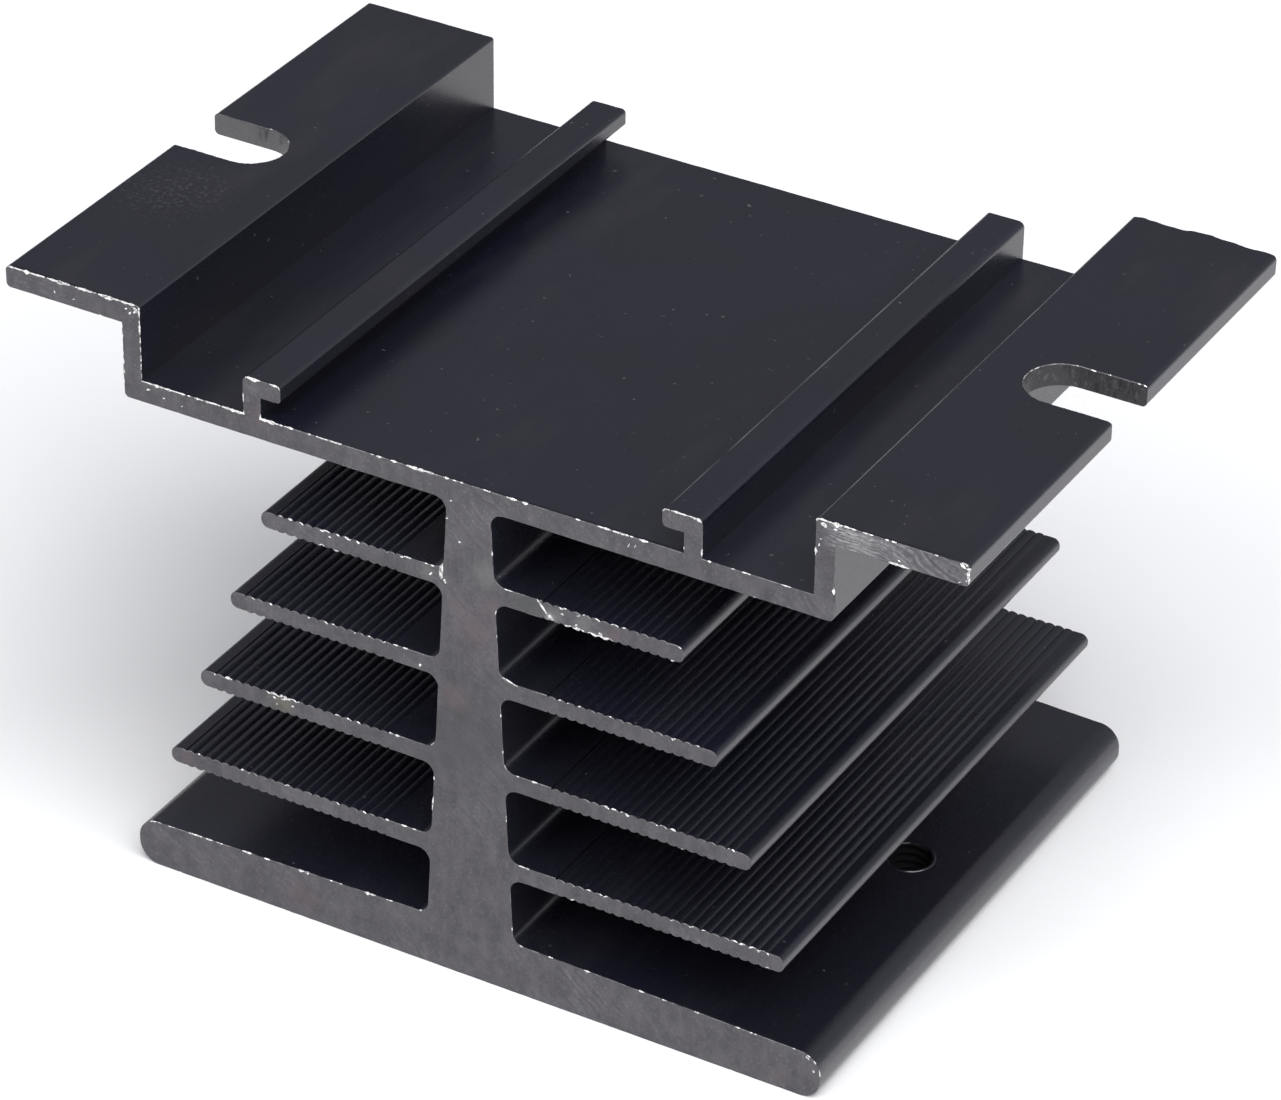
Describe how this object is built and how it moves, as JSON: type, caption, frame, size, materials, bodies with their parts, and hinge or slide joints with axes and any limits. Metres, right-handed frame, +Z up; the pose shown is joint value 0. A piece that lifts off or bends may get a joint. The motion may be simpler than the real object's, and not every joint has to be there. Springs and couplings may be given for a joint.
{
  "type": "extruded heat sink",
  "caption": "Black anodised aluminium extrusion: thick foot, tapered stem with ribbed fins, and a plate with rail hooks and slotted mounting wings.",
  "frame": {"origin": "middle of the foot's lower face, at mid-length", "axes": "+X across the wings, +Y along the extrusion, +Z up from the foot to the wings"},
  "size_m": [0.08, 0.05, 0.05],
  "materials": {
    "black_anodised": "black anodised skin with bare saw-cut ends"
  },
  "bodies": {
    "root": {"heat_sink": "black_anodised"}
  },
  "joints": []
}
